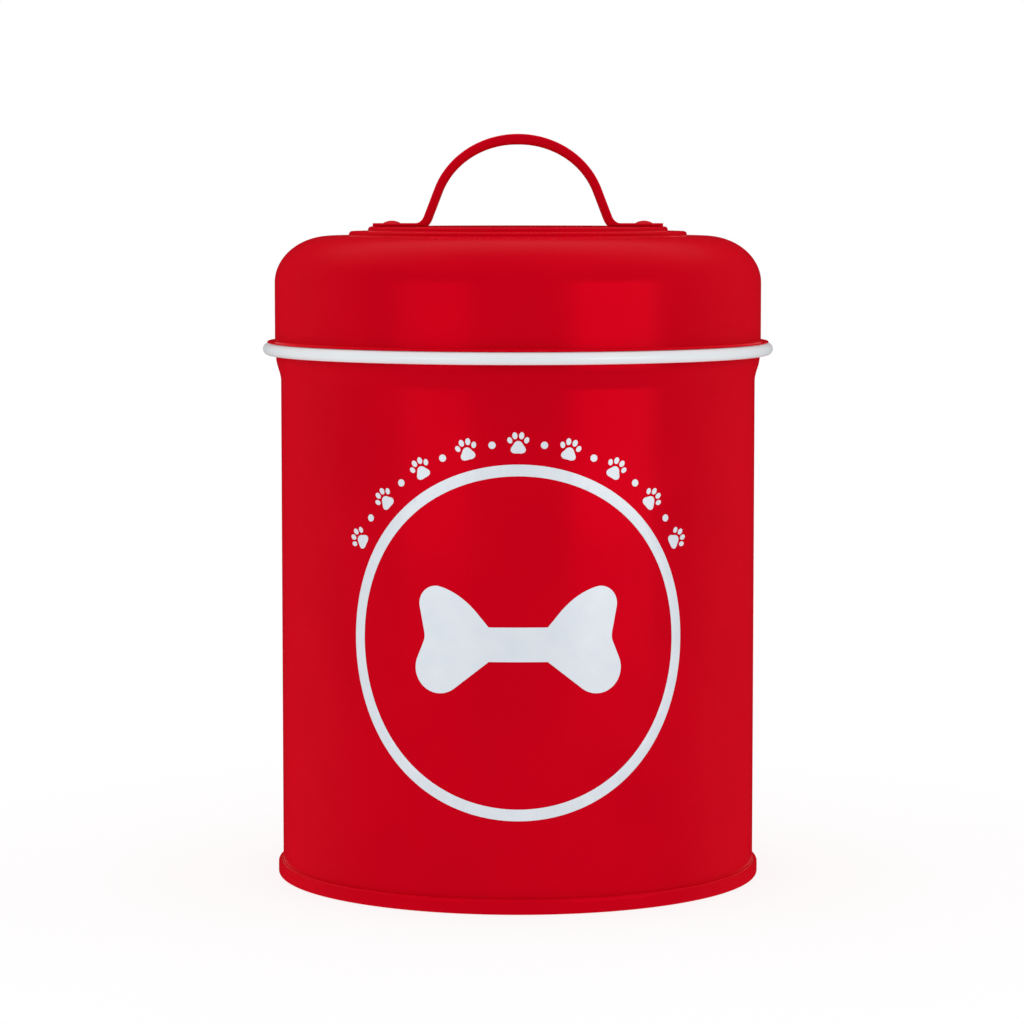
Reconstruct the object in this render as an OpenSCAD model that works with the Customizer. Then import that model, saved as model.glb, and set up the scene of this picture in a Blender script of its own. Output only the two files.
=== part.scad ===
// Pet food bin: a round tinplate canister with a slip-over lid and a riveted strap handle.
// +Z is up, the printed front faces -Y, and the origin is the centre of the base.

/* [Sheet metal] */
// Thickness of the tinplate sheet
sheet_t = 0.5; // [0.4:0.05:0.55]

/* [Body] */
// Outside radius of the straight wall
body_r = 68.5; // [60:0.5:80]
// Height at which the wall starts to flare towards the stop ridge
flare_z = 143.5; // [135:0.5:145]
// Height of the flare
flare_h = 7; // [5:0.5:7]
// How far the stop ridge stands out of the wall
ridge_out = 1.4; // [1.2:0.1:1.4]
// Height of the top of the curled mouth
mouth_z = 168.5; // [168:0.5:170]
// Outside radius of the wire curl at the mouth
curl_r = 1.2; // [1.1:0.05:1.2]
// How far the folded side seam at the back stands out of the wall
side_seam_out = 0.45; // [0.3:0.05:0.6]
// Width of the folded side seam
side_seam_w = 6; // [4:0.5:8]

/* [Base] */
// Height of the double seam round the foot
foot_h = 4.25; // [4:0.05:5]
// How far the double seam stands out of the wall
foot_out = 1.35; // [1.3:0.05:1.6]
// Height of the top of the bottom panel above the table
panel_z = 3.5; // [3.2:0.1:4]

/* [Lid] */
// Clearance between the curled mouth and the lid wall
lid_gap = 0.3; // [0.25:0.05:0.4]
// Height of the middle of the white rim bead
bead_z = 152.8; // [152.5:0.1:153]
// Radius of the white rim bead's section
bead_r = 1.7; // [1.6:0.05:1.8]
// Height at which the lid wall turns into the shoulder
lid_wall_z = 171.8; // [171:0.2:175]
// Width of the domed shoulder, measured along the radius
shoulder_w = 16.4; // [12:0.2:18]
// Height of the domed shoulder
shoulder_h = 13.5; // [10:0.5:16]
// Radius of the outer raised step
outer_step_r = 48.5; // [46:0.5:50]
// Radius of the inner raised step
inner_step_r = 43; // [42.9:0.1:44]
// Height of each raised step
step_h = 1.3; // [1:0.1:1.6]

/* [Handle] */
// Half width of the arch's ellipse, outside
arch_half = 25.4; // [23:0.2:26]
// Height of the arch's ellipse above its middle
arch_rise = 23.4; // [21:0.2:26]
// Height of the ellipse's middle above the lid panel
arch_lift = 3.1; // [2.5:0.1:5]
// Angle round the ellipse at which the straight leg starts
leg_angle = 70.5; // [66:0.5:74]
// Radius of the bend from the leg into its foot, outside
foot_bend = 3; // [2.5:0.25:4]
// Distance of the foot's end from the middle of the lid
foot_end = 41.8; // [41:0.1:42.5]
// Width of the strap
strap_w = 16; // [12:1:20]
// Depth of the strap's turned-down edges at the top of the arch
edge_top = 2.9; // [2.5:0.1:3.2]
// Depth of the turned-down edges along the legs
edge_leg = 2.4; // [2:0.1:2.8]
// Width of each turned-down edge
edge_w = 2; // [1.5:0.1:2.5]
// Thickness of the strap between its edges
strap_t = 0.9; // [0.8:0.05:1]
// Distance of each rivet from the middle of the lid
rivet_x = 36.4; // [35.5:0.1:37]

/* [Printed decoration] */
// Thickness of the raised enamel ink
ink_t = 0.15; // [0.1:0.01:0.2]
// Height of the middle of the printed ring
ring_z = 74.9; // [70:0.5:80]
// Outside radius of the ring, measured round the wall
ring_r = 49; // [45:0.5:50]
// Width of the ring's line
ring_w = 3.2; // [2.5:0.1:4]
// Height of the bone's middle above the ring's middle
bone_lift = 0.7; // [0:0.1:1]
// Radius of the arc of paw marks above the ring
paw_arc_r = 54.7; // [54.5:0.1:56]
// Angle between one paw mark and the next along the arc
paw_pitch = 15; // [14:0.5:15]

/* [Hidden] */
$fn = 160;

half_t = sheet_t / 2;
neck_in = 1;
neck_r = body_r - neck_in;
mouth_c = [neck_r - sheet_t + curl_r, mouth_z - curl_r];
lid_in_r = mouth_c.x + curl_r + lid_gap;
lid_r = lid_in_r + sheet_t;
bead_c = lid_r + 0.1 + bead_r;
top_z = lid_wall_z + shoulder_h + 2 * step_h;
bend_r = 0.8;
ridge_c = [body_r + ridge_out - half_t - bend_r, bead_z + 1.24];
slack = 0.02;
foot_top = top_z + slack + strap_t;
arch_z = top_z + arch_lift;
wire_gap = 0.05;
arch_steps = 20;
rivet_r = 1.6;
rivet_head_r = 2.6;
rivet_head_h = 0.75;
paw_count = 9;
red = "#c00218";
ink = "#e4e8ee";
tin = "#b9bcc0";

// Points round an ellipse from angle a0 to angle a1
function arc(c, rx, rz, a0, a1, n = 8) =
    [for (i = [0:n]) let (a = a0 + (a1 - a0) * i / n) c + [rx * cos(a), rz * sin(a)]];

// A quadratic curve from p to q, pulled towards k
function curve(p, k, q, n = 8) =
    [for (i = [0:n]) let (u = i / n) (1 - u) * (1 - u) * p + 2 * u * (1 - u) * k + u * u * q];

function reversed(path) = [for (i = [len(path) - 1:-1:0]) path[i]];

// A path turned round and mirrored left to right
function mirrored(path) = reversed([for (p = path) [-p.x, p.y]]);

function unit(v) = v / norm(v);

// The direction square to a path at point i, longer where the path turns a corner
function square_off(path, i) =
    let (a = unit(path[max(i, 1)] - path[max(i, 1) - 1]),
        b = unit(path[min(i, len(path) - 2) + 1] - path[min(i, len(path) - 2)]),
        m = unit([-a.y - b.y, a.x + b.x]))
    m / (m.x * -a.y + m.y * a.x);

// The outline of a sheet whose middle follows a path
function sheet(path, half) =
    concat([for (i = [0:len(path) - 1]) path[i] + half * square_off(path, i)],
        [for (i = [len(path) - 1:-1:0]) path[i] - half * square_off(path, i)]);

module turned_sheet(path) rotate_extrude() polygon(sheet(path, half_t));

// A small S-shaped rise in the lid's top, from height z at radius r
function step_up(r, z) =
    let (h = step_h / 2)
    concat(arc([r + h, z + h], h, h, 270, 180, 4), arc([r - h, z + h], h, h, 22.5, 90, 3));

// ---- body

function hook() = arc([body_r + 0.1, 1.25], 0.35, 0.35, 0, -180, 6);

function flare() = [for (i = [0:10]) let (u = i / 10)
    [body_r - half_t + ridge_out * (1 - cos(180 * u)) / 2, flare_z + flare_h * u]];

module body_wall() color(red) {
    turned_sheet(concat([[body_r + 0.45, 3]], hook(), flare(),
        arc(ridge_c, bend_r, bend_r, 0, 90, 6),
        arc([neck_r - half_t + bend_r, ridge_c.y + 2 * bend_r], bend_r, bend_r, 270, 180, 6),
        arc(mouth_c, curl_r - half_t, curl_r - half_t, 180, -105, 16)));
    seam_half = side_seam_w / 2 / body_r * 180 / PI;
    rotate_extrude(angle = 2 * seam_half, start = 90 - seam_half)
        translate([body_r - half_t, foot_h + 0.5])
            square([half_t + side_seam_out, flare_z - foot_h - 1]);
}

module base_pan() color(red) {
    r = 0.6;
    inner = body_r - 1;
    outer = body_r + foot_out - half_t;
    turned_sheet(concat([[0, panel_z - half_t]],
        arc([inner - bend_r, panel_z - half_t - bend_r], bend_r, bend_r, 90, 0, 4),
        arc([inner + r, half_t + r], r, r, 180, 270, 4),
        arc([outer - r, half_t + r], r, r, 270, 360, 4),
        arc([outer - r, foot_h - half_t - r], r, r, 0, 90, 4),
        [[body_r + 0.3, foot_h - half_t]]));
}

module wire_ring(r, z, wire_r) rotate_extrude() translate([r, z]) circle(wire_r, $fn = 32);

module mouth_wire() color(tin) wire_ring(mouth_c.x, mouth_c.y, curl_r - sheet_t - wire_gap);

// ---- printed decoration, one thin layer of ink wrapped on the wall

// Keeps the part of its children that lies in the ink layer at the front
module on_wall() intersection() {
    difference() {
        cylinder(r = body_r + slack + ink_t, h = flare_z);
        translate([0, 0, -1]) cylinder(r = body_r + slack, h = flare_z + 2);
    }
    children();
}

// Pushes a flat shape through the front wall
module pushed_through() rotate([90, 0, 0]) translate([0, 0, body_r / 4]) linear_extrude(body_r) children();

// A point that lies s round the wall from the front, as it is seen square from the front
function wrapped(p) = [body_r * sin(p.x / body_r * 180 / PI), p.y];

function ring_outline(r) = [for (a = [0:4:356]) wrapped([r * cos(a), r * sin(a)])];

module ring_print() color(ink) on_wall() pushed_through() translate([0, ring_z])
    difference() {
        polygon(ring_outline(ring_r));
        polygon(ring_outline(ring_r - ring_w));
    }

// Right half of the bone: shaft, upper knuckle, notch, lower knuckle and shaft again
function bone_half() = concat(
    [[8.1, 3.7]], curve([11.5, 7.8], [16, 13], [21.6, 14.6], 6),
    arc([22.9, 9.9], 4.9, 4.9, 95, -12, 10), [[26, 0.8]],
    arc([22, -7.8], 7, 7, 22, -128, 12), [[8.1, -5.8]]);

module bone_print() color(ink) on_wall() pushed_through() translate([0, ring_z + bone_lift])
    polygon([for (p = concat(bone_half(), mirrored(bone_half()))) wrapped(p)]);

module paw() {
    translate([0, -1.1]) circle(1.75);
    for (side = [-1, 1]) {
        translate([side * 1.15, -1.75]) circle(1.05);
        translate([side * 2.3, 0.9]) circle(0.75);
        translate([side * 0.95, 2.2]) circle(0.85);
    }
}

// Puts its children on the arc above the ring, at an angle from the top of it
module on_arc(a) rotate([0, 0, paw_arc_r * sin(a) / body_r * 180 / PI])
    translate([0, 0, ring_z + paw_arc_r * cos(a)]) pushed_through() rotate(-a) children();

module paw_prints() color(ink) {
    last = (paw_count - 1) / 2;
    for (i = [-last:last]) on_wall() on_arc(i * paw_pitch) paw();
    for (i = [-last:last - 1]) on_wall() on_arc((i + 0.5) * paw_pitch) circle(1);
}

// ---- silicone band on the neck, its two lips brush the inside of the lid wall

module neck_seal() color("#e9e6dc") {
    low = mouth_z - 10.5;
    root = neck_r + 0.2;
    tip = lid_in_r - 0.25;
    rotate_extrude() polygon(concat([[root, low], [root + 0.8, low]],
        [for (z = [low + 1, low + 4]) each
            [[root + 0.8, z], [tip, z + 1.4], [tip, z + 1.8], [root + 0.8, z + 1.6]]],
        [[root + 0.8, low + 6.6], [root, low + 6.6]]));
}

// ---- lid

function lid_path() =
    let (r = lid_r - half_t, turn = 0.7, z = bead_z + bead_r + slack + half_t)
    concat([[bead_c + 0.2, z]],
        arc([r + turn, z + turn], turn, turn, 270, 180, 6),
        arc([lid_r - shoulder_w, lid_wall_z], shoulder_w - half_t, shoulder_h - half_t, 0, 90, 20),
        step_up(outer_step_r, top_z - 2 * step_h - half_t),
        step_up(inner_step_r, top_z - step_h - half_t),
        [[0, top_z - half_t]]);

module rivet_holes() for (side = [-1, 1])
    translate([side * rivet_x, 0, top_z - 5]) cylinder(r = rivet_r + wire_gap, h = 10);

module lid_shell() color(red) difference() {
    turned_sheet(lid_path());
    rivet_holes();
}

module rim_bead() color(ink) rotate_extrude() translate([bead_c, bead_z]) difference() {
    circle(bead_r, $fn = 48);
    circle(bead_r - sheet_t, $fn = 48);
}

module rim_wire() color(tin) wire_ring(bead_c, bead_z, bead_r - sheet_t - wire_gap);

// ---- handle

// Outer face of the strap's right half: the arch, a straight leg, a tight bend and the foot
function strap_path() =
    let (p = [arch_half * sin(leg_angle), arch_z + arch_rise * cos(leg_angle)],
        lean = atan(arch_half * cos(leg_angle) / (arch_rise * sin(leg_angle))),
        drop = p.y - foot_top - foot_bend * (1 - sin(lean)))
    concat(arc([0, arch_z], arch_half, arch_rise, 90, 90 - leg_angle, arch_steps),
        arc([p.x + drop * tan(lean) + foot_bend * cos(lean), foot_top + foot_bend],
            foot_bend, foot_bend, 180 + lean, 270, 8),
        [[foot_end, foot_top]]);

// The strap seen from the front, as deep as t0 at the top of the arch and t1 from the legs on
module strap_side(t0, t1) {
    over = strap_path();
    under = [for (i = [0:len(over) - 1])
        over[i] - (t0 + (t1 - t0) * min(1, i / arch_steps)) * square_off(over, i)];
    rest = [1:len(over) - 1];
    intersection() {
        polygon(concat(mirrored([for (i = rest) over[i]]), over,
            reversed([for (i = rest) under[i]]), [for (p = under) [-p.x, p.y]]));
        translate([-2 * foot_end, top_z + slack]) square([4 * foot_end, 2 * arch_rise]);
    }
}

module across(w) rotate([90, 0, 0]) linear_extrude(w, center = true) children();

// Outline of the strap seen from above, with rounded ends
module strap_plan() {
    corner = 4;
    square([2 * foot_end, strap_w - 2 * corner], center = true);
    square([2 * (foot_end - corner), strap_w], center = true);
    for (x = [-1, 1], y = [-1, 1])
        translate([x * (foot_end - corner), y * (strap_w / 2 - corner)]) circle(corner);
}

module handle_strap() color(red) difference() {
    intersection() {
        union() {
            across(strap_w) strap_side(strap_t, strap_t);
            for (side = [-1, 1]) translate([0, side * (strap_w - edge_w) / 2, 0])
                across(edge_w) strap_side(edge_top, edge_leg);
        }
        translate([0, 0, top_z]) linear_extrude(2 * arch_rise) strap_plan();
    }
    rivet_holes();
}

// A low domed rivet through the strap's foot and the lid, set over underneath
module rivet(side) {
    seat = foot_top + slack;
    tail = top_z - sheet_t - slack;
    cap_r = (pow(rivet_head_r, 2) + pow(rivet_head_h, 2)) / (2 * rivet_head_h);
    translate([side * rivet_x, 0, 0]) rotate_extrude() polygon(concat(
        arc([0, seat + rivet_head_h - cap_r], cap_r, cap_r, 90, asin((cap_r - rivet_head_h) / cap_r)),
        [[rivet_r, seat], [rivet_r, tail], [rivet_r + 0.8, tail], [rivet_r + 0.8, tail - 0.4]],
        [[rivet_r, tail - 0.8], [0, tail - 0.8]]));
}

module rivet_left() color(red) rivet(-1);

module rivet_right() color(red) rivet(1);

body_wall();
base_pan();
mouth_wire();
ring_print();
bone_print();
paw_prints();
neck_seal();
lid_shell();
rim_bead();
rim_wire();
handle_strap();
rivet_left();
rivet_right();
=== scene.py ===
import math

import bmesh
import bpy
from mathutils import Euler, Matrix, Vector


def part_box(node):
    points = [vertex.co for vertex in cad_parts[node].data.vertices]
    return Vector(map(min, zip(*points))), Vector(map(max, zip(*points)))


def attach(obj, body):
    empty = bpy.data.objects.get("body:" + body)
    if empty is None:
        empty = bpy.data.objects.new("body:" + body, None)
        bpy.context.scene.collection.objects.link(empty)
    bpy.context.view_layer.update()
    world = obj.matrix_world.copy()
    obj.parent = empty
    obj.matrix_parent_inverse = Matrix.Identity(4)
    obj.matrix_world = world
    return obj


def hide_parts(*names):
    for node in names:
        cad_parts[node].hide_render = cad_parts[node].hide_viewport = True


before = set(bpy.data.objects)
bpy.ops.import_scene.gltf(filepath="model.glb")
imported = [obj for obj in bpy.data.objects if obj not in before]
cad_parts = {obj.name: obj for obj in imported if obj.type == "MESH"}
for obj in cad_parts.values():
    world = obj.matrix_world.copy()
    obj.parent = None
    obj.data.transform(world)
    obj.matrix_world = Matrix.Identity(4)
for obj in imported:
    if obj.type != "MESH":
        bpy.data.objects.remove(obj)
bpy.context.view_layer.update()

# ---------------------------------------------------------------------------
# Canister wall: one sheet of tinplate, enamelled red outside, rolled into a cylinder and locked
# with a folded seam at the back. A ridge near the top stops the lid, and the mouth is curled
# outwards round a wire, so the curl shows the bare inside of the sheet.
MM = 0.001
SHEET = 0.5
WALL_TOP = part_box("body_wall")[1].z / MM
FOOT_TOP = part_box("base_pan")[1].z / MM
WALL_R = 68.5
RIDGE_OUT = 1.4
FLARE_LOW, FLARE_HIGH = 143.5, 150.5
RIDGE_TURN = 154.04
TURN_R = 0.8
NECK_R = WALL_R - 1.0
CURL_R = 1.2
HEM_R, HEM_OUT, HEM_Z, HEM_TOP = 0.35, 0.1, 1.25, 3.0
SEAM_OUT, SEAM_HALF, SEAM_SLOPE = 0.42, 2.5, 0.25
SEAM_GROOVE, GROOVE_WIDE = 0.22, 0.45


def arc(centre, rx, rz, start, end, steps):
    """Points round an ellipse in the plane of radius and height, by angle in degrees."""
    turns = [math.radians(start + (end - start) * i / steps) for i in range(steps + 1)]
    return [(centre[0] + rx * math.cos(a), centre[1] + rz * math.sin(a)) for a in turns]


def held(path, hold=0.25):
    """Adds a point close to each end of every long straight stretch, to keep it flat when shaded."""
    points = [path[0]]
    for (r0, z0), (r1, z1) in zip(path, path[1:]):
        length = math.hypot(r1 - r0, z1 - z0)
        if length > 4 * hold:
            for share in (hold / length, 1 - hold / length):
                points.append((r0 + (r1 - r0) * share, z0 + (z1 - z0) * share))
        points.append((r1, z1))
    return points


def sides(path, half):
    """The two faces of a sheet whose middle follows a path: the one on its left, then the other."""
    left, right = [], []
    for i, (r, z) in enumerate(path):
        before, after = path[max(i - 1, 0)], path[min(i + 1, len(path) - 1)]
        ways = [(b[0] - a[0], b[1] - a[1]) for a, b in ((before, (r, z)), ((r, z), after)) if a != b]
        normals = [(-dz / math.hypot(dr, dz), dr / math.hypot(dr, dz)) for dr, dz in ways]
        n = (sum(v[0] for v in normals), sum(v[1] for v in normals))
        size = math.hypot(*n)
        n = (n[0] / size, n[1] / size)
        reach = half / (n[0] * normals[0][0] + n[1] * normals[0][1])
        left.append((r + n[0] * reach, z + n[1] * reach))
        right.append((r - n[0] * reach, z - n[1] * reach))
    return left, right


def rounded_end(a, b, steps=4):
    """Points of the half circle that closes a sheet's edge, going from a to b."""
    mid = ((a[0] + b[0]) / 2, (a[1] + b[1]) / 2)
    half = ((a[0] - b[0]) / 2, (a[1] - b[1]) / 2)
    turns = [math.pi * i / steps for i in range(1, steps)]
    way = (half[1], -half[0])
    return [
        tuple(m + h * math.cos(t) + w * math.sin(t) for m, h, w in zip(mid, half, way))
        for t in turns
    ]


def new_object(name, bm, materials, crease=40):
    """A smooth shaded object from a mesh in millimetres, sharp only where it turns a real corner."""
    bmesh.ops.scale(bm, vec=(MM, MM, MM), verts=bm.verts)
    bmesh.ops.recalc_face_normals(bm, faces=bm.faces)
    mesh = bpy.data.meshes.new(name)
    bm.to_mesh(mesh)
    bm.free()
    mesh.shade_smooth()
    mesh.set_sharp_from_angle(angle=math.radians(crease))
    for coat in materials:
        mesh.materials.append(coat)
    obj = bpy.data.objects.new(name, mesh)
    bpy.context.scene.collection.objects.link(obj)
    return obj


def turned(name, outline, materials, closed=True, painted=None, angles=None, push=None):
    """Turns an outline of (radius, height) about the axis.

    painted(i) picks the material of the i-th band, and push(r, z, a) moves a point outwards.
    """
    angles = angles or [360 * i / 288 for i in range(288)]
    bm = bmesh.new()
    rings = []
    for r, z in outline:
        if r < 1e-6:
            rings.append([bm.verts.new((0, 0, z))] * len(angles))
            continue
        ring = []
        for a in angles:
            out, t = r + (push(r, z, a) if push else 0), math.radians(a)
            ring.append(bm.verts.new((out * math.cos(t), out * math.sin(t), z)))
        rings.append(ring)
    pairs = list(zip(rings, rings[1:] + rings[:1])) if closed else list(zip(rings, rings[1:]))
    for band, (low, high) in enumerate(pairs):
        for i in range(len(angles)):
            j = (i + 1) % len(angles)
            corners = list(dict.fromkeys((low[i], low[j], high[j], high[i])))
            if len(corners) > 2:
                face = bm.faces.new(corners)
                face.material_index = painted(band) if painted else 0
    return new_object(name, bm, materials)


def linear(hex_colour):
    """The linear colour that Blender works in, from an sRGB hex value."""
    values = [int(hex_colour[i : i + 2], 16) / 255 for i in (1, 3, 5)]
    return [v / 12.92 if v <= 0.04045 else ((v + 0.055) / 1.055) ** 2.4 for v in values] + [1.0]


def add(tree, kind, settings=None, **links):
    """Adds a node, sets its attributes and sockets, and links its named sockets to other outputs."""
    node = tree.nodes.new(kind)
    for key, value in (settings or {}).items():
        if isinstance(key, str) and key not in node.inputs:
            setattr(node, key, value)
        else:
            node.inputs[key].default_value = value
    for key, source in links.items():
        tree.links.new(source, node.inputs[int(key) if key.isdigit() else key.replace("_", " ")])
    return node


def material(name):
    """A new material: returns it, its tree, its surface shader and the object's coordinates."""
    made = bpy.data.materials.new(name)
    made.use_nodes = True
    tree = made.node_tree
    shader = next(n for n in tree.nodes if n.type == "BSDF_PRINCIPLED")
    place = tree.nodes.new("ShaderNodeTexCoord").outputs["Object"]
    return made, tree, shader, place


def per_metre(size_mm):
    """The scale of a pattern whose features are that many millimetres across."""
    return 1 / (size_mm * MM)


PAINTED_SHEEN_POWER = 2.5
GLOSS_SPREAD = 0.03
RIPPLE_DEEP, PEEL_DEEP = 0.08, 0.002


def enamel(name, dark, light, sheen_colour, roughness, through=0.0, gloss_level=0.5):
    """Stoved enamel: even, and slightly rippled like orange peel.

    Where it is seen at a slant, its own colour, between dark and light, is lightened towards the sheen
    colour: a painted sheen along its edges. The sheen colour also tints its highlights. through is how far
    light gets down to the tin below.
    """
    made, tree, shader, place = material(name)
    flow = add(tree, "ShaderNodeTexNoise", {"Scale": per_metre(28), "Detail": 2.0}, Vector=place)
    ramp = add(tree, "ShaderNodeValToRGB", Fac=flow.outputs["Fac"])
    ramp.color_ramp.elements[0].color, ramp.color_ramp.elements[0].position = linear(dark), 0.35
    ramp.color_ramp.elements[1].color, ramp.color_ramp.elements[1].position = linear(light), 0.65
    # Painted sheen: the base colour turns lighter towards the sheen colour where the surface is seen at a
    # slant, a painted highlight along the edges.
    slant = add(tree, "ShaderNodeLayerWeight", {"Blend": 0.5})
    painted_sheen_share = add(
        tree,
        "ShaderNodeMath",
        {"operation": "POWER", 1: PAINTED_SHEEN_POWER},
        **{"0": slant.outputs["Facing"]},
    )
    colour = add(
        tree,
        "ShaderNodeMixRGB",
        {"Color2": linear(sheen_colour)},
        Fac=painted_sheen_share.outputs[0],
        Color1=ramp.outputs["Color"],
    )
    tree.links.new(colour.outputs["Color"], shader.inputs["Base Color"])
    patchy = add(tree, "ShaderNodeTexNoise", {"Scale": per_metre(9), "Detail": 3.0}, Vector=place)
    gloss = add(
        tree,
        "ShaderNodeMapRange",
        {"To Min": roughness - GLOSS_SPREAD, "To Max": roughness + GLOSS_SPREAD},
        Value=patchy.outputs["Fac"],
    )
    tree.links.new(gloss.outputs["Result"], shader.inputs["Roughness"])
    ripple = add(tree, "ShaderNodeTexNoise", {"Scale": per_metre(45), "Detail": 1.0}, Vector=place)
    peel = add(tree, "ShaderNodeTexNoise", {"Scale": per_metre(1.8), "Detail": 2.0}, Vector=place)
    first = add(
        tree,
        "ShaderNodeBump",
        {"Strength": 1.0, "Distance": RIPPLE_DEEP * MM},
        Height=ripple.outputs["Fac"],
    )
    second = add(
        tree,
        "ShaderNodeBump",
        {"Strength": 1.0, "Distance": PEEL_DEEP * MM},
        Height=peel.outputs["Fac"],
        Normal=first.outputs["Normal"],
    )
    tree.links.new(second.outputs["Normal"], shader.inputs["Normal"])
    shader.inputs["Metallic"].default_value = through
    shader.inputs["Specular Tint"].default_value = linear(sheen_colour)
    shader.inputs["Specular IOR Level"].default_value = gloss_level
    shader.inputs["IOR"].default_value = 1.5
    return made


# Stoved red enamel: a deep, saturated red whose highlights stay red, as the light goes through the
# pigment and back.
# Its edges are lightened with a painted red sheen.
red_enamel = enamel("stoved_red_enamel", "#C60219", "#CB031A", "#F40320", 0.24, 0.08, 0.06)

# Tinplate, hot dipped and lacquered: the bare inside of the sheet, silvery with a soft rolled grain.
# The lacquer scatters part of the light, so the deep inside stays a light grey.
tinplate, tree, shader, place = material("lacquered_tinplate")
grain = add(tree, "ShaderNodeMapping", {"Scale": (1.0, 1.0, 0.06)}, Vector=place)
rolled = add(
    tree,
    "ShaderNodeTexNoise",
    {"Scale": per_metre(0.9), "Detail": 4.0},
    Vector=grain.outputs["Vector"],
)
spangle = add(tree, "ShaderNodeTexVoronoi", {"Scale": per_metre(7)}, Vector=place)
tone = add(
    tree,
    "ShaderNodeMixRGB",
    {"Fac": 0.25},
    Color1=rolled.outputs["Fac"],
    Color2=spangle.outputs["Distance"],
)
ramp = add(tree, "ShaderNodeValToRGB", Fac=tone.outputs["Color"])
ramp.color_ramp.elements[0].color = linear("#A9ABAC")
ramp.color_ramp.elements[1].color = linear("#CFD0CF")
tree.links.new(ramp.outputs["Color"], shader.inputs["Base Color"])
streak = add(tree, "ShaderNodeMapRange", {"To Min": 0.26, "To Max": 0.42}, Value=rolled.outputs["Fac"])
tree.links.new(streak.outputs["Result"], shader.inputs["Roughness"])
shader.inputs["Metallic"].default_value = 0.55

half = SHEET / 2
middle_r = WALL_R - half
hem = arc((WALL_R + HEM_OUT, HEM_Z), HEM_R, HEM_R, 0, -180, 8)
flare = [
    (
        middle_r + RIDGE_OUT * (1 - math.cos(math.pi * i / 20)) / 2,
        FLARE_LOW + (FLARE_HIGH - FLARE_LOW) * i / 20,
    )
    for i in range(21)
]
ridge = arc((middle_r + RIDGE_OUT - TURN_R, RIDGE_TURN), TURN_R, TURN_R, 0, 90, 10)
into_neck = arc((NECK_R - half + TURN_R, RIDGE_TURN + 2 * TURN_R), TURN_R, TURN_R, 270, 180, 10)
curl_c = (NECK_R - SHEET + CURL_R, WALL_TOP - CURL_R)
curl = arc(curl_c, CURL_R - half, CURL_R - half, 180, -105, 28)
seam_ends = [(middle_r, z) for z in (FOOT_TOP, FOOT_TOP + 0.5, FLARE_LOW - 1)]
wall_path = held([(WALL_R + HEM_OUT + HEM_R, HEM_TOP)] + hem + seam_ends + flare + ridge + into_neck + curl)
inside, outside = sides(wall_path, half)
outside.reverse()
tip, root = rounded_end(inside[-1], outside[0]), rounded_end(outside[-1], inside[0])
wall_outline = inside + tip + outside + root


def seam(r, z, a):
    """How far the folded seam lifts the outside of the wall at an angle, with a groove on one side."""
    if r < WALL_R - 0.01 or not FOOT_TOP < z < FLARE_HIGH:
        return 0
    offset = (a - 90 + 180) % 360 - 180
    across = max(0.0, min(1.0, (SEAM_HALF - abs(offset)) / SEAM_SLOPE))
    along = max(0.0, min(1.0, (FLARE_LOW + 1 - z) / 2, (z - FOOT_TOP) / 0.5))
    if SEAM_HALF < offset < SEAM_HALF + GROOVE_WIDE:
        return -SEAM_GROOVE * along
    return SEAM_OUT * across * along


fine = [90 + 0.125 * i for i in range(-24, 25)]
steps = sorted([1.25 * i for i in range(288) if not 87 <= 1.25 * i <= 93] + fine)
wall = turned(
    "canister_wall",
    wall_outline,
    [red_enamel, tinplate],
    painted=lambda band: 1 if band < len(inside) + 2 else 0,
    angles=steps,
    push=seam,
)
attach(wall, "bin")
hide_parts("body_wall")


# ---------------------------------------------------------------------------
# Base pan: a pressed disc of the same enamelled tinplate. Its rim wraps the flange of the wall in a
# double seam, which is the round foot that stands out at the bottom and carries the canister.
PANEL_TOP = 3.5
FOOT_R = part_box("base_pan")[1].x / MM
PAN_INNER = WALL_R - 1.0
FOOT_TURN = 0.6
GROOVE_R, GROOVE_HALF, GROOVE_DEEP = 54.0, 3.0, 0.35

pan_low = PANEL_TOP - half
foot_mid = FOOT_R - half
groove = [
    (GROOVE_R + GROOVE_HALF * u, pan_low - GROOVE_DEEP * math.cos(math.pi * u / 2) ** 2)
    for u in [i / 10 - 1 for i in range(21)]
]
pan_path = held(
    [(0.0, pan_low)]
    + groove
    + arc((PAN_INNER - TURN_R, pan_low - TURN_R), TURN_R, TURN_R, 90, 0, 8)
    + arc((PAN_INNER + FOOT_TURN, half + FOOT_TURN), FOOT_TURN, FOOT_TURN, 180, 270, 8)
    + arc((foot_mid - FOOT_TURN, half + FOOT_TURN), FOOT_TURN, FOOT_TURN, 270, 360, 8)
    + arc((foot_mid - FOOT_TURN, FOOT_TOP - half - FOOT_TURN), FOOT_TURN, FOOT_TURN, 0, 90, 8)
    + [(WALL_R + 0.3, FOOT_TOP - half)]
)
inside, outside = sides(pan_path, half)
outside.reverse()
pan = turned(
    "base_pan_pressing",
    inside + rounded_end(inside[-1], outside[0]) + outside,
    [red_enamel, tinplate],
    closed=False,
    painted=lambda band: 1 if band < len(inside) else 0,
)
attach(pan, "bin")
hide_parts("base_pan")

# ---------------------------------------------------------------------------
# Mouth wire: drawn steel wire that stiffens the curl of the mouth, rolled in all the way round.
# Only the ends of a worn curl would show it, so the plain ring of the model keeps its own shape.

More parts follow.
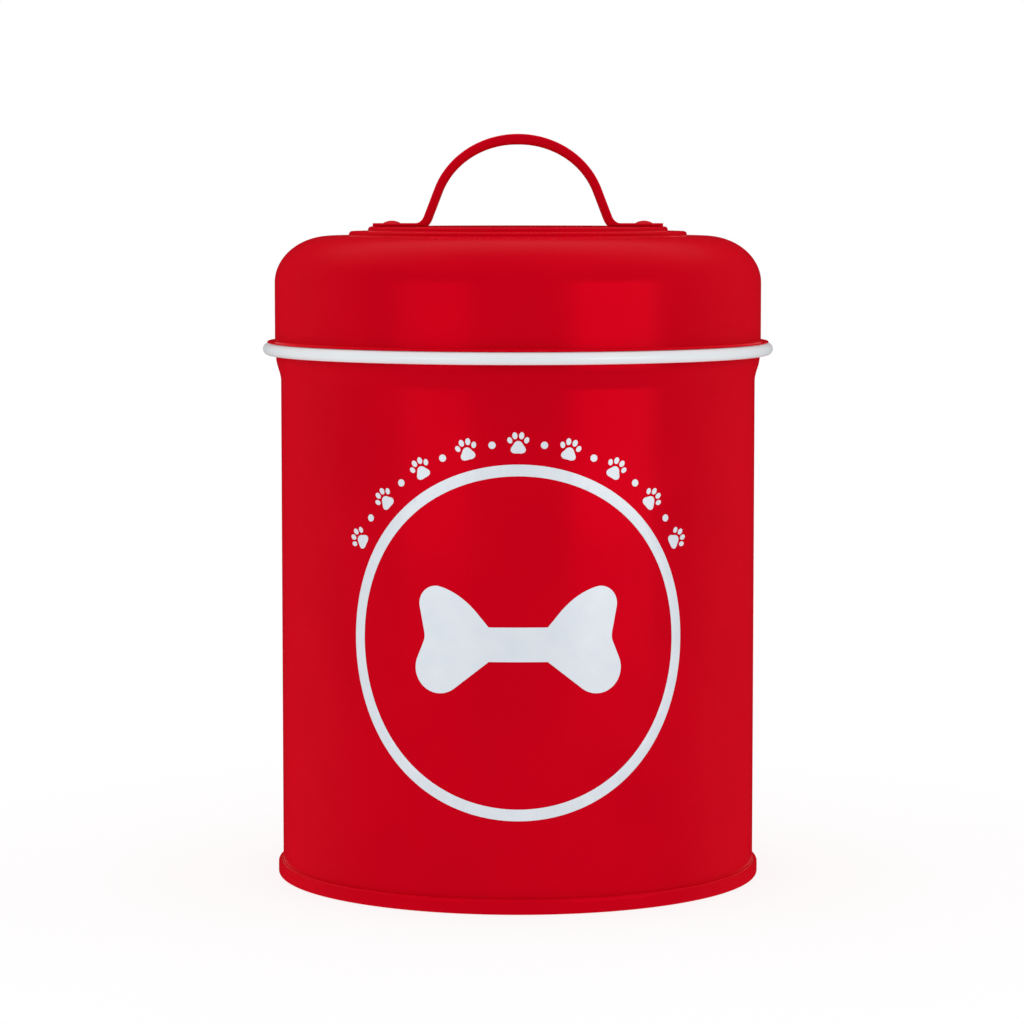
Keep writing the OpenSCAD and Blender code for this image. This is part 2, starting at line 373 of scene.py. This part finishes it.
# Drawn steel: bare grey metal with the fine scratches of the die.
drawn_wire, tree, shader, place = material("drawn_steel_wire")
lines = add(tree, "ShaderNodeTexNoise", {"Scale": per_metre(0.4), "Detail": 3.0}, Vector=place)
ramp = add(tree, "ShaderNodeValToRGB", Fac=lines.outputs["Fac"])
ramp.color_ramp.elements[0].color = linear("#8C8D8F")
ramp.color_ramp.elements[1].color = linear("#B5B6B8")
tree.links.new(ramp.outputs["Color"], shader.inputs["Base Color"])
shader.inputs["Metallic"].default_value = 1.0
shader.inputs["Roughness"].default_value = 0.35
for node in ("mouth_wire", "rim_wire"):
    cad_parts[node].data.materials.clear()
    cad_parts[node].data.materials.append(drawn_wire)

# ---------------------------------------------------------------------------
# Printed ring: the first of the white decorations, screen printed on the front of the wall in a
# thick enamel ink and stoved, so each stands a little proud of the red and has soft edges.
INK_LOW, INK_TOP, INK_EDGE = 0.02, 0.16, 0.08
RING_Z = 74.9
RING_R, RING_W = 49.0, 3.2
STRIP = 1.25
THREAD_MM, WEAVE_DEEP = 0.35, 0.004

# Screen-printed enamel ink: cool white and nearly opaque, with the faint weave that the screen leaves.
# A real screen has threads about 0.1 mm apart, and they are drawn coarser.
ink, tree, shader, place = material("screen_printed_white_enamel")
cloud = add(tree, "ShaderNodeTexNoise", {"Scale": per_metre(6), "Detail": 3.0}, Vector=place)
ramp = add(tree, "ShaderNodeValToRGB", Fac=cloud.outputs["Fac"])
ramp.color_ramp.elements[0].color, ramp.color_ramp.elements[0].position = linear("#D8DFE7"), 0.3
ramp.color_ramp.elements[1].color, ramp.color_ramp.elements[1].position = linear("#DEE4EB"), 0.7
tree.links.new(ramp.outputs["Color"], shader.inputs["Base Color"])
weave = add(tree, "ShaderNodeTexVoronoi", {"Scale": per_metre(THREAD_MM)}, Vector=place)
raised = add(
    tree,
    "ShaderNodeBump",
    {"Strength": 0.5, "Distance": WEAVE_DEEP * MM},
    Height=weave.outputs["Distance"],
)
tree.links.new(raised.outputs["Normal"], shader.inputs["Normal"])
shader.inputs["Roughness"].default_value = 0.24
shader.inputs["IOR"].default_value = 1.5


def printed(name, node, faces):
    """A raised layer of ink on the front wall, from flat faces of (distance round the wall, height)."""
    bm = bmesh.new()
    for face in faces:
        bm.faces.new([bm.verts.new((s, z, INK_TOP)) for s, z in face])
    bmesh.ops.remove_doubles(bm, verts=bm.verts, dist=1e-3)
    span = max(abs(v.co.x) for v in bm.verts)
    for i in range(-int(span / STRIP), int(span / STRIP) + 1):
        bmesh.ops.bisect_plane(
            bm,
            geom=bm.verts[:] + bm.edges[:] + bm.faces[:],
            plane_co=(i * STRIP, 0, 0),
            plane_no=(1, 0, 0),
            dist=1e-4,
        )
    bmesh.ops.inset_region(bm, faces=bm.faces[:], thickness=INK_EDGE, use_even_offset=True)
    for edge in bm.edges:
        if edge.is_boundary:
            for v in edge.verts:
                v.co.z = INK_TOP - INK_EDGE
    under = bmesh.ops.extrude_face_region(bm, geom=bm.faces[:], use_keep_orig=True)
    for v in under["geom"]:
        if isinstance(v, bmesh.types.BMVert):
            v.co.z = INK_LOW
    for v in bm.verts:
        r, a = WALL_R + v.co.z, v.co.x / WALL_R
        v.co = (r * math.sin(a), -r * math.cos(a), v.co.y)
    layer = new_object(name, bm, [ink])
    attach(layer, "bin")
    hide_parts(node)


ring_faces = []
for i in range(180):
    a, b = math.radians(2 * i), math.radians(2 * i + 2)
    low, high = RING_R - RING_W, RING_R
    corners = ((low, a), (high, a), (high, b), (low, b))
    ring_faces.append([(r * math.cos(t), RING_Z + r * math.sin(t)) for r, t in corners])
printed("printed_ring", "ring_print", ring_faces)

# ---------------------------------------------------------------------------
# Printed bone: a plain dog bone in the same ink at the middle of the ring, with two round
# knuckles at each end and a straight shaft between them.
BONE_Z = RING_Z + 0.7
SHAFT_X, SHAFT_TOP, SHAFT_LOW = 8.1, 3.7, -5.8


def curve(p, k, q, steps):
    """A quadratic curve from p to q, pulled towards k."""
    shares = [i / steps for i in range(steps + 1)]
    return [
        tuple((1 - u) ** 2 * a + 2 * u * (1 - u) * b + u * u * c for a, b, c in zip(p, k, q))
        for u in shares
    ]


# The right half, from the top of the shaft round both knuckles to its underside.
half_bone = (
    [(SHAFT_X, SHAFT_TOP)]
    + curve((11.5, 7.8), (16.0, 13.0), (21.6, 14.6), 14)
    + arc((22.9, 9.9), 4.9, 4.9, 95, -12, 24)
    + curve((26.6, 3.2), (26.0, 0.9), (26.5, -0.4), 5)
    + arc((22.0, -7.8), 7.0, 7.0, 22, -128, 36)
    + [(SHAFT_X, SHAFT_LOW)]
)
outline = half_bone + [(-x, z) for x, z in reversed(half_bone)]
printed("printed_bone", "bone_print", [[(x, z + BONE_Z) for x, z in outline]])

# ---------------------------------------------------------------------------
# Paw marks: a row of small paw prints with dots between them, in the same ink, bent in an arc
# above the ring. Each is a three-cornered pad with four toes over it.
PAW_ARC_R = 54.7
PAW_COUNT, PAW_PITCH = 9, 15.0
DOT_R = 1.0
# The pad and the toes as blobs: place, half width and height, tilt, and for the pad its corners too.
PAD = (0, -1.2, 1.95, 1.7, 0, 0.14, 48)
TOES = (
    (-2.3, 0.9, 0.66, 0.88, 22),
    (-0.92, 2.15, 0.7, 0.95, 8),
    (0.92, 2.15, 0.7, 0.95, -8),
    (2.3, 0.9, 0.66, 0.88, -22),
)


def blob(x, z, rx, rz, tilt, corners=0.0, steps=32):
    """A closed round outline at x, z, tilted in degrees, with three corners drawn out by that share."""
    points = []
    for i in range(steps):
        a = 2 * math.pi * i / steps
        reach = 1 + corners * math.cos(3 * (a - math.pi / 2))
        u, v, t = rx * reach * math.cos(a), rz * reach * math.sin(a), math.radians(tilt)
        points.append((x + u * math.cos(t) - v * math.sin(t), z + u * math.sin(t) + v * math.cos(t)))
    return points


def on_arc(points, degrees):
    """Moves an outline to its place along the arc above the ring, standing square to it."""
    a = math.radians(degrees)
    return [
        (
            PAW_ARC_R * math.sin(a) + x * math.cos(a) + z * math.sin(a),
            RING_Z + PAW_ARC_R * math.cos(a) + z * math.cos(a) - x * math.sin(a),
        )
        for x, z in points
    ]


marks = []
for i in range(PAW_COUNT):
    place_on_arc = (i - (PAW_COUNT - 1) / 2) * PAW_PITCH
    marks.append(on_arc(blob(*PAD), place_on_arc))
    marks += [on_arc(blob(*toe), place_on_arc) for toe in TOES]
    if i:
        marks.append(on_arc(blob(0, 0, DOT_R, DOT_R, 0), place_on_arc - PAW_PITCH / 2))
printed("printed_paws", "paw_prints", marks)

# ---------------------------------------------------------------------------
# Neck band: a moulded silicone ring stretched round the neck under the curl. Its two soft lips
# brush the inside of the lid's wall and keep the food fresh.
BAND_LOW = WALL_TOP - 10.5
BAND_TALL, BAND_EDGE = 6.6, 0.1
BAND_IN, BAND_OUT = NECK_R + 0.2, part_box("neck_seal")[1].x / MM
BAND_ROOT = BAND_IN + 0.8

# One lip, as radius and height above its lower root: it slopes up and out to a soft tip.
lip = [
    (BAND_ROOT, 0.0),
    (BAND_ROOT + 0.06, 0.5),
    (BAND_OUT - 0.06, 1.38),
    (BAND_OUT, 1.5),
    (BAND_OUT, 1.7),
    (BAND_OUT - 0.06, 1.78),
    (BAND_ROOT + 0.25, 1.6),
    (BAND_ROOT, 1.75),
]
band_outline = [(BAND_IN, BAND_LOW), (BAND_ROOT - BAND_EDGE, BAND_LOW), (BAND_ROOT, BAND_LOW + BAND_EDGE)]
for low in (BAND_LOW + 1, BAND_LOW + 4):
    band_outline += [(r, low + z) for r, z in lip]
band_outline += [
    (BAND_ROOT, BAND_LOW + BAND_TALL - BAND_EDGE),
    (BAND_ROOT - BAND_EDGE, BAND_LOW + BAND_TALL),
    (BAND_IN, BAND_LOW + BAND_TALL),
]

# Moulded silicone: milky and a little translucent, with a soft satin face off the mould.
silicone, tree, shader, place = material("moulded_silicone")
milk = add(tree, "ShaderNodeTexNoise", {"Scale": per_metre(12), "Detail": 2.0}, Vector=place)
ramp = add(tree, "ShaderNodeValToRGB", Fac=milk.outputs["Fac"])
ramp.color_ramp.elements[0].color = linear("#DEDCD3")
ramp.color_ramp.elements[1].color = linear("#EAE8E0")
tree.links.new(ramp.outputs["Color"], shader.inputs["Base Color"])
mould = add(tree, "ShaderNodeTexNoise", {"Scale": per_metre(0.25), "Detail": 1.0}, Vector=place)
matt = add(
    tree,
    "ShaderNodeBump",
    {"Strength": 0.4, "Distance": 0.01 * MM},
    Height=mould.outputs["Fac"],
)
tree.links.new(matt.outputs["Normal"], shader.inputs["Normal"])
shader.inputs["Roughness"].default_value = 0.45
shader.inputs["IOR"].default_value = 1.41
shader.inputs["Subsurface Weight"].default_value = 0.3
shader.inputs["Subsurface Scale"].default_value = 1 * MM

neck_band = turned("neck_band", band_outline, [silicone])
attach(neck_band, "seal")
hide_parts("neck_seal")

# ---------------------------------------------------------------------------
# Lid: pressed from one disc of the enamelled tinplate, with a domed shoulder and two raised steps
# that stiffen its top. Its lower edge is flared out over the white rim.
LID_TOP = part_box("lid_shell")[1].z / MM
RIM_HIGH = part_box("rim_bead")[1].z / MM
RIM_OUT = -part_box("rim_bead")[0].x / MM
RIM_R = 1.7
LID_IN = curl_c[0] + CURL_R + 0.3
LID_R = LID_IN + SHEET
SHOULDER_Z = 171.8
SHOULDER_W, SHOULDER_H = 16.4, 13.5
STEP_RADII, STEP_H = (48.5, 43.0), 1.3
FLARE_TURN = 0.7

lid_mid = LID_R - half
flange_z = RIM_HIGH + 0.02 + half
lid_path = [(RIM_OUT - RIM_R + 0.2, flange_z)]
lid_path += arc((lid_mid + FLARE_TURN, flange_z + FLARE_TURN), FLARE_TURN, FLARE_TURN, 270, 180, 8)
lid_path += arc((LID_R - SHOULDER_W, SHOULDER_Z), SHOULDER_W - half, SHOULDER_H - half, 0, 90, 32)
for i, r in enumerate(STEP_RADII):
    z, rise = LID_TOP - (2 - i) * STEP_H - half, STEP_H / 2
    lid_path += arc((r + rise, z + rise), rise, rise, 270, 180, 8)
    lid_path += arc((r - rise, z + rise), rise, rise, 11.25, 90, 7)
lid_path.append((0.0, LID_TOP - half))
under, over = sides(held(lid_path), half)
over.reverse()
edge = rounded_end(over[-1], under[0])
lid = turned(
    "lid_pressing",
    over + edge + under,
    [red_enamel, tinplate],
    closed=False,
    painted=lambda band: 0 if band < len(over) + 2 else 1,
)
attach(lid, "lid")
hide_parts("lid_shell")

# ---------------------------------------------------------------------------
# White rim: a strip of sheet rolled round a steel wire and enamelled white. It sits under the
# flared edge of the lid and its lower edge is tucked in against the lid's wall.
RIM_Z = RIM_HIGH - RIM_R
ROLL_FROM, ROLL_TO = 150, -165

# Stoved white enamel: a cool, clean white with a clear gloss over it.
# Its edges are lightened with a painted pale sheen.
white_enamel = enamel("stoved_white_enamel", "#E2E7EB", "#E8ECEF", "#F4F6F8", 0.3)

roll_path = arc((RIM_OUT - RIM_R, RIM_Z), RIM_R - half, RIM_R - half, ROLL_FROM, ROLL_TO, 56)
rim_in, rim_out = sides(roll_path, half)
rim_out.reverse()
tip, root = rounded_end(rim_in[-1], rim_out[0]), rounded_end(rim_out[-1], rim_in[0])
rim_outline = rim_in + tip + rim_out + root
rim = turned("white_rim", rim_outline, [white_enamel])
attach(rim, "lid")
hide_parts("rim_bead")

# ---------------------------------------------------------------------------
# Handle: a strip of thicker sheet bent into an arch, its two long edges rolled under for a smooth
# grip. Both ends turn out flat into feet with rounded corners, and it is enamelled with the lid.
ARCH_HALF, ARCH_RISE = 25.4, 23.4
ARCH_Z = LID_TOP + 3.1
LEG_ANGLE = 70.5
FOOT_BEND = 3.0
STRAP_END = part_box("handle_strap")[1].x / MM
STRAP_W, STRAP_T = 16.0, 0.9
ROLL_TOP, ROLL_LEG, ROLL_W = 2.9, 2.4, 2.0
FOOT_CORNER = 4.0
SEAT_Z = LID_TOP + 0.02
SOFT_EDGE, FLAT_HOLD = 0.7, 0.2

leg_turn = math.radians(LEG_ANGLE)
leg_x, leg_z = ARCH_HALF * math.sin(leg_turn), ARCH_RISE * math.cos(leg_turn)
lean = math.atan2(ARCH_HALF * math.cos(leg_turn), ARCH_RISE * math.sin(leg_turn))
drop = ARCH_Z + leg_z - SEAT_Z - STRAP_T - FOOT_BEND * (1 - math.sin(lean))
bend_c = (leg_x + drop * math.tan(lean) + FOOT_BEND * math.cos(lean), SEAT_Z + STRAP_T + FOOT_BEND)
arch = arc((0, ARCH_Z), ARCH_HALF, ARCH_RISE, 90, 90 - LEG_ANGLE, 56)
foot_bend = arc(bend_c, FOOT_BEND, FOOT_BEND, 180 + math.degrees(lean), 270, 16)
corner = [
    (STRAP_END - FOOT_CORNER * (1 - math.sin(a)), foot_bend[-1][1])
    for a in [math.pi / 2 * i / 14 for i in range(15)]
]
right_half = held(arch + foot_bend + corner)
strap_line = [(-x, z) for x, z in reversed(right_half[1:])] + right_half


def strap_section(depth, thickness, half_w):
    """Half of the outline across the strap: distance to the side, and depth below its top face."""
    side, bead = STRAP_W / 2, ROLL_W / 2
    soft = min(SOFT_EDGE, depth / 2)
    low, inner = min(bead, depth / 2), max(min(bead, depth - thickness), 0.0)
    quarter = [math.radians(15 * i) for i in range(7)]
    points = [(0.0, 0.0), (side - soft - FLAT_HOLD, 0.0)]
    points += [(side - soft + soft * math.sin(a), soft - soft * math.cos(a)) for a in quarter]
    points += [(side - bead * (1 - math.cos(a)), depth - low + low * math.sin(a)) for a in quarter]
    points += [(side - bead * (1 + math.sin(a)), depth - inner + inner * math.cos(a)) for a in quarter[1:]]
    points += [(side - ROLL_W, thickness), (side - ROLL_W - FLAT_HOLD, thickness), (0.0, thickness)]
    return [(y * half_w / side, d) for y, d in points]


bm = bmesh.new()
rings = []
for i, (x, z) in enumerate(strap_line):
    before, after = strap_line[max(i - 1, 0)], strap_line[min(i + 1, len(strap_line) - 1)]
    way = Vector((after[0] - before[0], after[1] - before[1])).normalized()
    out = Vector((-way.y, way.x))
    room = (z - SEAT_Z) / max(out.y, 0.05)
    turn = math.degrees(math.atan2(abs(x) / ARCH_HALF, (z - ARCH_Z) / ARCH_RISE))
    share = min(1.0, turn / LEG_ANGLE)
    roll = ROLL_TOP + (ROLL_LEG - ROLL_TOP) * share
    past = max(0.0, abs(x) - (STRAP_END - FOOT_CORNER))
    half_w = STRAP_W / 2 - FOOT_CORNER + math.sqrt(FOOT_CORNER**2 - past**2)
    side = strap_section(min(roll, room), min(STRAP_T, room), half_w)
    loop = side + [(-y, d) for y, d in reversed(side[1:-1])]
    rings.append([bm.verts.new((x - out.x * d, y, z - out.y * d)) for y, d in loop])
for a, b in zip(rings, rings[1:]):
    for j in range(len(a)):
        k = (j + 1) % len(a)
        bm.faces.new((a[j], a[k], b[k], b[j]))
bm.faces.new(rings[0])
bm.faces.new(rings[-1])
bmesh.ops.remove_doubles(bm, verts=bm.verts, dist=1e-3)
strap = new_object("strap_handle", bm, [red_enamel])
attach(strap, "lid")
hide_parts("handle_strap")

# ---------------------------------------------------------------------------
# Rivets: two soft steel rivets, each through a foot of the handle and the lid, with a low domed
# head above and a tail that is set over under the lid. Only the heads are enamelled over.
RIVET_X = 36.4
RIVET_R, HEAD_R, HEAD_H = 1.6, 2.6, 0.75
TAIL_R, TAIL_DEEP, TAIL_EDGE = 2.4, 0.8, 0.4
DOME_STEPS = 10

seat = SEAT_Z + STRAP_T + 0.02
tail = LID_TOP - SHEET - 0.02
dome_r = (HEAD_R**2 + HEAD_H**2) / (2 * HEAD_H)
dome_low = math.degrees(math.asin((dome_r - HEAD_H) / dome_r))
rivet_outline = arc((0, seat + HEAD_H - dome_r), dome_r, dome_r, 90, dome_low, DOME_STEPS)
rivet_outline += [(RIVET_R, seat), (RIVET_R, tail), (TAIL_R, tail)]
rivet_outline += arc((TAIL_R - TAIL_EDGE, tail - TAIL_DEEP + TAIL_EDGE), TAIL_EDGE, TAIL_EDGE, 0, -90, 6)
rivet_outline.append((0.0, tail - TAIL_DEEP))
both = (("rivet_on_left_foot", "rivet_left", -1), ("rivet_on_right_foot", "rivet_right", 1))
for name, node, sign in both:
    rivet = turned(
        name,
        rivet_outline,
        [red_enamel, drawn_wire],
        closed=False,
        painted=lambda band: 0 if band <= DOME_STEPS else 1,
        angles=[7.5 * i for i in range(48)],
    )
    for v in rivet.data.vertices:
        v.co.x += sign * RIVET_X * MM
    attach(rivet, "lid")
    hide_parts(node)

# ---------------------------------------------------------------------------
# Floor: a wide round sheet of opal acrylic lit softly from below, not part of the object. It keeps
# the white clean under the canister and only lets a faint shadow show, and nothing mirrors it.
GLOW = 0.8
FLOOR_R, FLOOR_TOP = 3000.0, -0.05

opal, tree, shader, place = material("opal_acrylic")
cloud = add(tree, "ShaderNodeTexNoise", {"Scale": per_metre(200), "Detail": 1.0}, Vector=place)
ramp = add(tree, "ShaderNodeValToRGB", Fac=cloud.outputs["Fac"])
ramp.color_ramp.elements[0].color = linear("#7C7C7C")
ramp.color_ramp.elements[1].color = linear("#7F7F7F")
tree.links.new(ramp.outputs["Color"], shader.inputs["Base Color"])
shader.inputs["Emission Color"].default_value = (1, 1, 1, 1)
shader.inputs["Emission Strength"].default_value = GLOW
shader.inputs["Roughness"].default_value = 0.9
shader.inputs["Specular IOR Level"].default_value = 0.0
floor = turned("floor", [(0.0, FLOOR_TOP), (FLOOR_R, FLOOR_TOP)], [opal], closed=False)
floor.visible_glossy = False

# ---------------------------------------------------------------------------
# Light: a white tent gives an even light from all sides. Two upright softboxes, a dimmer one on the
# left and a brighter one on the right, only show as the two tall soft streaks in the enamel.
ROOM_FILL = 1.0
ROOM_LEVEL, ROOM_OVERHEAD, ROOM_INSIDE = 0.005, 0.8, 0.9
ROOM_DEEP = 2.5

bpy.context.scene.view_settings.view_transform = "Standard"
world = bpy.data.worlds.new("studio_tent")
bpy.context.scene.world = world
world.use_nodes = True
tree = world.node_tree
# Mirrored, the tent is dark at the sides and bright overhead, and bright again after two bounces.
# All else sees it evenly white.
path = add(tree, "ShaderNodeLightPath")
backdrop = next(n for n in tree.nodes if n.type == "BACKGROUND")
way_up = add(tree, "ShaderNodeSeparateXYZ", Vector=add(tree, "ShaderNodeTexCoord").outputs["Generated"])
overhead = add(
    tree,
    "ShaderNodeMapRange",
    {"From Min": 0.5, "From Max": 0.9, "To Min": ROOM_LEVEL, "To Max": ROOM_OVERHEAD},
    Value=way_up.outputs["Z"],
)
again = add(
    tree,
    "ShaderNodeMath",
    {"operation": "GREATER_THAN", 1: ROOM_DEEP},
    **{"0": path.outputs["Ray Depth"]},
)
inside_tin = add(
    tree,
    "ShaderNodeMixRGB",
    {"Color2": [ROOM_INSIDE] * 4},
    Fac=again.outputs[0],
    Color1=overhead.outputs["Result"],
)
soft = add(
    tree,
    "ShaderNodeMixRGB",
    {"Color1": [ROOM_FILL] * 4},
    Fac=path.outputs["Is Glossy Ray"],
    Color2=inside_tin.outputs["Color"],
)
seen = add(
    tree,
    "ShaderNodeMixRGB",
    {"Color2": [1.0] * 4},
    Fac=path.outputs["Is Camera Ray"],
    Color1=soft.outputs["Color"],
)
tree.links.new(seen.outputs["Color"], backdrop.inputs["Color"])


def softbox(name, azimuth, distance, width, low, high, watts):
    """An upright light that faces the canister, its azimuth counted from the front towards the right."""
    lamp = bpy.data.lights.new(name, "AREA")
    lamp.shape = "RECTANGLE"
    lamp.size, lamp.size_y = width * MM, (high - low) * MM
    lamp.energy = watts
    box = bpy.data.objects.new(name, lamp)
    a = math.radians(azimuth)
    box.location = Vector((distance * math.sin(a), -distance * math.cos(a), (low + high) / 2)) * MM
    box.rotation_euler = Euler((math.pi / 2, 0, a))
    box.visible_diffuse = False
    bpy.context.scene.collection.objects.link(box)


softbox("left_softbox", -38, 650, 380, 10, 330, 0.68)
softbox("right_softbox", 44, 650, 480, 10, 330, 1.3)

# ---------------------------------------------------------------------------
# Camera: a long lens about a metre away and just above the middle of the canister, level enough
# to look a little down on the lid's rim and to keep the sides upright.
LENS_MM = 130.0
CAMERA_AT = Vector((-1.7, -1071.0, 196.2))
CAMERA_PITCH = 4.86

view = bpy.data.cameras.new("camera")
view.lens = LENS_MM
view.sensor_width = 36
view.clip_end = 20
camera = bpy.data.objects.new("camera", view)
camera.location = CAMERA_AT * MM
camera.rotation_euler = Euler((math.radians(90 - CAMERA_PITCH), 0, 0))
bpy.context.scene.collection.objects.link(camera)
bpy.context.scene.camera = camera
